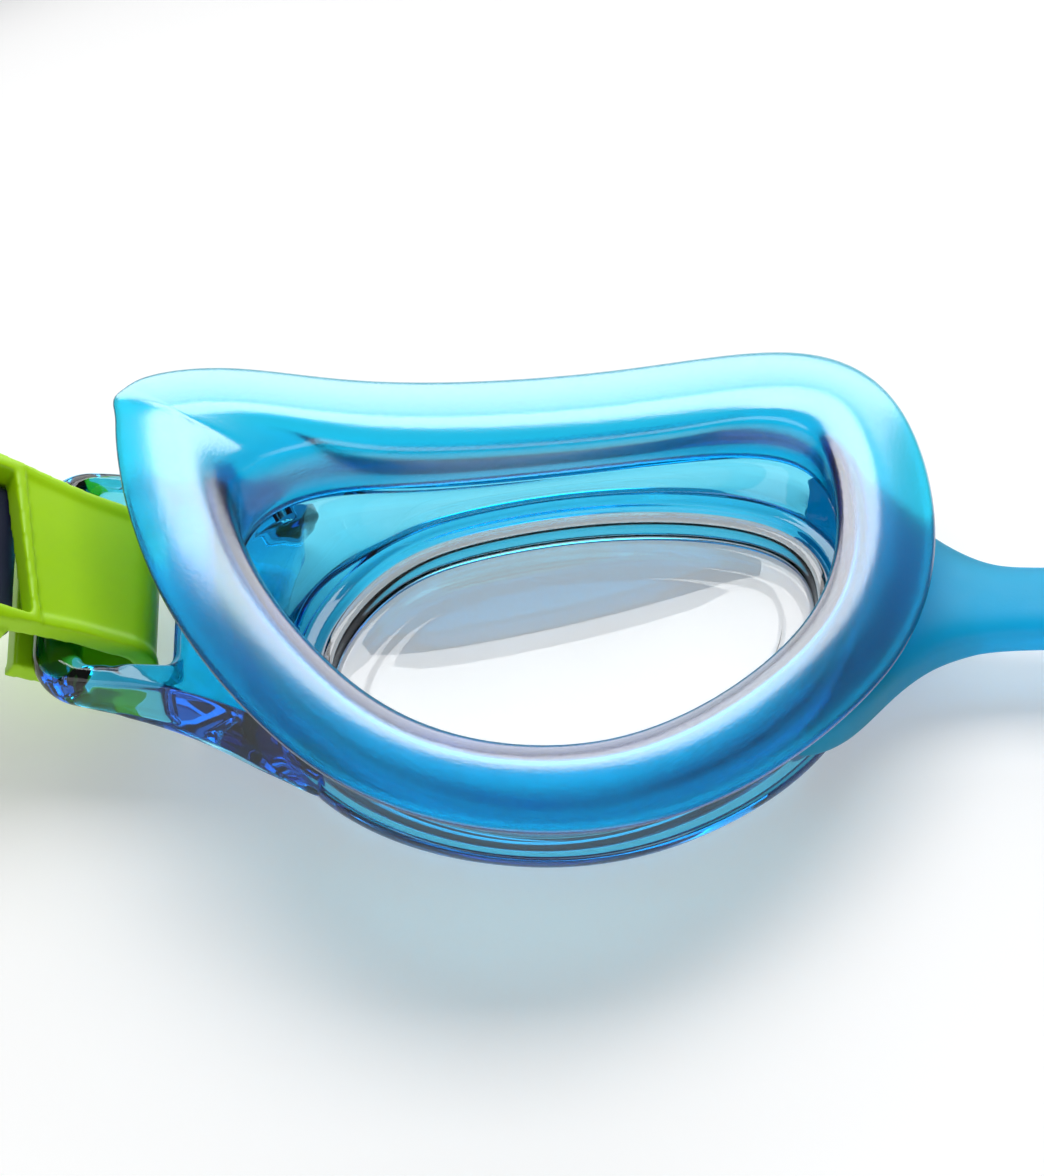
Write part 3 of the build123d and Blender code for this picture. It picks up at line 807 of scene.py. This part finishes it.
# --- head strap ---------------------------------------------------------------------------------------------
STRAP_WIDTH, STRAP_THICK, STRAP_WRAP = 12.0, 1.5, 1.5
STRAP_V, TAIL_V = 0.8, -1.0
STRAP_JOIN, TAIL_FROM, TAIL_END = 27.3, 11.25, 25.0
LOOP_ROUTE = [
    (-105.3, 0.5, 26.0), (-112.5, 5.5, 27.3), (-117.3, 15.5, 24.0), (-118.5, 28.0, 16.5), (-115.5, 41.0, 9.8),
    (-108.0, 55.0, 6.7), (-94.0, 68.5, 6.2), (-72.0, 79.5, 6.2), (-38.0, 86.0, 6.2), (0.0, 87.5, 6.2),
]
TWIST_SHARE = 0.4  # share of the half loop over which the strap turns from flat to on edge
STRAP_SAMPLES = 420


def strap_section(middle, across, out):
    """The strap's rounded section at a point, with a shallow groove along its middle on both faces."""
    section = []
    half_width, half_thick = STRAP_WIDTH / 2, STRAP_THICK / 2
    edge = [
        (1.0, 0.0), (0.985, 0.55), (0.93, 0.93), (0.86, 1.0),
        (0.78, 0.98), (0.70, 0.84), (0.35, 0.80), (0.0, 0.80),
    ]
    quarter = [(w * half_width, t * half_thick) for w, t in edge]
    loop = quarter + [(-w, t) for w, t in quarter[-2::-1]]
    loop += [(w, -t) for w, t in loop[-2:0:-1]]
    for w, t in loop:
        section.append(middle + across * w + out * t)
    return section


def strap_part():
    """The left half of the strap: round the crossbar, out of the clip, and on to the middle of the loop's back."""
    bend = BAR_U - BAR_WIDE + CROSSBAR_R
    flat = [(BAR_U + 3.8, TAIL_V - 0.15), (BAR_U + 1.0, -STRAP_WRAP), (bend, -STRAP_WRAP)]
    flat += [(bend + STRAP_WRAP * cos(t), STRAP_WRAP * sin(t)) for t in np.radians((240, 210, 180, 150, 120))]
    flat += [(bend, STRAP_WRAP), (BAR_U + 1.0, STRAP_WRAP), (11.0, 1.2)]
    flat += [(u, STRAP_V) for u in (14.0, 18.0, 22.5)]
    route = [on_clip(u, v, 0) for u, v in flat]
    route += [on_clip(STRAP_JOIN, STRAP_V, 0), on_clip(STRAP_JOIN + 4, STRAP_V, 0)]
    start = len(route) - 2
    route += [np.array(p) for p in LOOP_ROUTE]
    line = open_curve(route + [np.array(LOOP_ROUTE[-2]) * (-1, 1, 1)], STRAP_SAMPLES)
    line = line[line[:, 0] < -0.3]
    line = np.vstack([line, [(x, *LOOP_ROUTE[-1][1:]) for x in (-0.1, -0.02, 0.0)]])
    along = np.gradient(line, axis=0)
    along /= np.linalg.norm(along, axis=1)[:, None]
    length = np.concatenate([[0], np.cumsum(np.linalg.norm(np.diff(line, axis=0), axis=1))])
    first = length[np.argmin(np.linalg.norm(line - route[start], axis=1))]
    share = np.clip((length - first) / (length[-1] - first), 0, 1)
    turn = radians(90) * np.clip(share / TWIST_SHARE, 0, 1)
    sections = []
    for middle, forward, angle in zip(line, along, turn):
        across = np.array([0.0, cos(angle), sin(angle)])
        across -= forward * across.dot(forward)
        across /= np.linalg.norm(across)
        sections.append(strap_section(middle, across, np.cross(forward, across)))
    return sweep_part(sections)


TIP_LENGTH = 2.6


def tail_part():
    """The strap's free tail, under the loop end, with a rounded tip."""
    sections = []
    straight = np.linspace(TAIL_FROM, TAIL_END - TIP_LENGTH, 24)
    tip = np.linspace(TAIL_END - TIP_LENGTH + 0.1, TAIL_END, 9)
    for u in np.concatenate([straight, tip]):
        into = max(0.0, u - (TAIL_END - TIP_LENGTH)) / TIP_LENGTH
        narrow = 1 - 0.45 * (1 - np.sqrt(max(0.0, 1 - into**2)))
        middle = on_clip(u, TAIL_V, 0)
        sections.append(strap_section(middle, np.array([0.0, narrow, 0.0]), CLIP_V * (1 - 0.25 * into**3)))
    return sweep_part(sections)


KEEPER_FROM, KEEPER_LENGTH, KEEPER_WALL, KEEPER_GAP, KEEPER_CORNER = 16.0, 3.8, 1.1, 0.15, 0.35


def keeper_part():
    """The keeper: a flat ring round the strap and its tail, with a soft bead at each rim."""
    high, low = STRAP_V + STRAP_THICK / 2 + KEEPER_GAP, TAIL_V - STRAP_THICK / 2 - KEEPER_GAP
    half = STRAP_WIDTH / 2 + KEEPER_GAP
    middle_v = (high + low) / 2
    section = [
        (0, 0.15), (0.12, 0.0), (0.5, 0), (0.88, 0.0), (1, 0.15), (1, 0.8), (0.93, 1.0), (0.8, 0.98), (0.7, 0.82),
        (0.3, 0.82), (0.2, 0.98), (0.07, 1.0), (0, 0.8),
    ]
    rows = []
    for along, up in section:
        row = []
        out = KEEPER_WALL * up
        radius = KEEPER_CORNER + out
        for cy, cv, start in ((1, 1, 0), (-1, 1, 90), (-1, -1, 180), (1, -1, 270)):
            for turn in np.radians(np.linspace(start, start + 90, 7)):
                y = cy * (half - KEEPER_CORNER) + radius * cos(turn)
                v = middle_v + cv * ((high - low) / 2 - KEEPER_CORNER) + radius * sin(turn)
                row.append(on_clip(KEEPER_FROM + along * KEEPER_LENGTH, v, y))
        rows.append(row)
    return ring_part(rows)


# Each side's strap half is baked in place; its tail and its keeper are each attached to a body of their own.
for name, side in SIDES:
    strap = make_piece(f"head_strap.{name}", [strap_part()], side, strap_material, levels=1)
    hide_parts(f"strap_end_{name}", "head_strap")
    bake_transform(strap)
    tail = make_piece(f"strap_tail.{name}", [tail_part()], side, strap_material, levels=1)
    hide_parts(f"strap_tail_{name}")
    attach(tail, f"tail_{name}")
    keeper = make_piece(f"tail_keeper.{name}", [keeper_part()], side, strap_material, levels=1)
    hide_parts(f"tail_keeper_{name}")
    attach(keeper, f"keeper_{name}")


# --- floor, light and camera --------------------------------------------------------------------------------
def floor_material():
    """A plain pale floor."""
    material, _, shader, _ = new_material("pale_floor")
    shader.inputs["Base Color"].default_value = (0.75, 0.75, 0.75, 1)
    shader.inputs["Roughness"].default_value = 0.7
    shader.inputs["Emission Color"].default_value = (1, 1, 1, 1)
    shader.inputs["Emission Strength"].default_value = 0.30
    return material


bpy.ops.mesh.primitive_plane_add(size=6.0, location=(0, 0, -0.0001))
floor = bpy.context.object
floor.name = "floor"
floor.data.materials.append(floor_material())

world = bpy.data.worlds.new("studio")
world.use_nodes = True
world.node_tree.nodes["Background"].inputs["Color"].default_value = (1, 1, 1, 1)
world.node_tree.nodes["Background"].inputs["Strength"].default_value = 0.13
bpy.context.scene.world = world

TARGET = Vector((CUP_X * MM, -0.0035, 0.013))


def softbox(name, place, width, height, power):
    """A rectangular area light that faces the goggles."""
    light = bpy.data.lights.new(name, "AREA")
    light.shape = "RECTANGLE"
    light.size, light.size_y = width, height
    light.energy = power
    lamp = bpy.data.objects.new(name, light)
    lamp.location = place
    lamp.rotation_euler = (TARGET - Vector(place)).to_track_quat("-Z", "Y").to_euler()
    bpy.context.scene.collection.objects.link(lamp)


softbox("back_card", (-0.04, 0.80, 0.27), 1.3, 0.60, 6.5)
softbox("high_softbox", (-0.04, 0.40, 0.60), 0.70, 0.36, 4.4)
softbox("front_fill", (-0.04, -0.80, 0.30), 1.4, 0.5, 3.2)

CAMERA_DISTANCE, CAMERA_RISE = 0.420, radians(55.0)
camera_data = bpy.data.cameras.new("camera")
camera_data.lens = 170.5
camera_data.clip_start = 0.01
camera = bpy.data.objects.new("camera", camera_data)
camera.location = TARGET + Vector((0, -cos(CAMERA_RISE), sin(CAMERA_RISE))) * CAMERA_DISTANCE
camera.rotation_euler = (TARGET - camera.location).to_track_quat("-Z", "Y").to_euler()
bpy.context.scene.collection.objects.link(camera)
bpy.context.scene.camera = camera
bpy.context.scene.view_settings.view_transform = "Standard"
